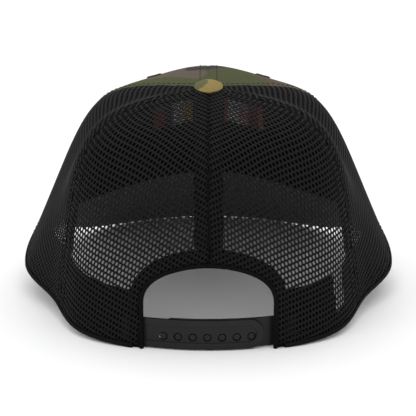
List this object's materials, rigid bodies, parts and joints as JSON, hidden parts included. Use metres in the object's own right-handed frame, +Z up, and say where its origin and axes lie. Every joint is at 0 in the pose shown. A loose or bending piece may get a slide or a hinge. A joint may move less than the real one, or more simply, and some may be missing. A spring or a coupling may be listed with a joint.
{
  "type": "trucker mesh cap",
  "caption": "Six-panel cap with a stiff printed front, open mesh back and sides, a curved visor and an adjustable snap strap under a rear arch.",
  "frame": {"origin": "on the surface the cap stands on, under the middle of its bounding box", "axes": "+Z up, +Y to the back of the cap (strap and rear arch), -Y to the visor, +X to the wearer's left"},
  "size_m": [0.2093, 0.2156, 0.1278],
  "materials": {
    "mesh_black": "knitted polyester mesh, dull",
    "camo_twill": "printed cotton twill, matt",
    "backing_black": "stiff buckram backing, matt",
    "tape_black": "woven polyester tape, matt",
    "binding_black": "woven binding tape, matt",
    "sweatband_black": "brushed cotton band, matt",
    "visor_board_white": "plain moulded sheet",
    "visor_under_grey": "plain cotton twill, matt",
    "button_camo": "printed cotton twill over a shell",
    "button_metal": "bare stamped metal",
    "eyelet_thread": "satin-stitched thread",
    "strap_plastic": "moulded plastic, low sheen",
    "label_cloth": "woven label, satin"
  },
  "bodies": {
    "cap": {"back_mesh_left": "mesh_black", "back_mesh_right": "mesh_black", "side_mesh_left": "mesh_black", "side_mesh_right": "mesh_black", "front_panel_left": "camo_twill", "front_panel_right": "camo_twill", "front_backing_left": "backing_black", "front_backing_right": "backing_black", "eyelet_left": "eyelet_thread", "eyelet_right": "eyelet_thread", "seam_tape_centre_back": "tape_black", "seam_tape_rear_left": "tape_black", "seam_tape_rear_right": "tape_black", "seam_tape_front_left": "tape_black", "seam_tape_front_right": "tape_black", "seam_tape_centre_front": "tape_black", "arch_binding": "binding_black", "sweatband": "sweatband_black", "sweatband_tail_left": "sweatband_black", "sweatband_tail_right": "sweatband_black", "hem_tape_left": "tape_black", "hem_tape_right": "tape_black", "visor_under_cover": "visor_under_grey", "visor_board": "visor_board_white", "visor_top_cover": "camo_twill", "visor_flange": "visor_under_grey", "button_cover": "button_camo", "button_shell": "button_metal", "button_rivet": "button_metal", "strap_tab_left": "strap_plastic", "strap_tab_right": "strap_plastic", "inner_label_left": "label_cloth", "inner_label_right": "label_cloth"},
    "strap_outer": {"strap_holes": "strap_plastic"},
    "strap_inner": {"strap_pegs": "strap_plastic"}
  },
  "joints": [
    {"name": "strap_outer_swing", "type": "hinge", "parent": "cap", "child": "strap_outer", "pos_m": [0.0336, 0.1045, 0.00049], "axis": [0, 0.0262, -0.9997], "range_deg": [0, 60]},
    {"name": "strap_inner_swing", "type": "hinge", "parent": "cap", "child": "strap_inner", "pos_m": [-0.0336, 0.101, 0.0004], "axis": [0, 0.0262, -0.9997], "range_deg": [0, 30]}
  ]
}
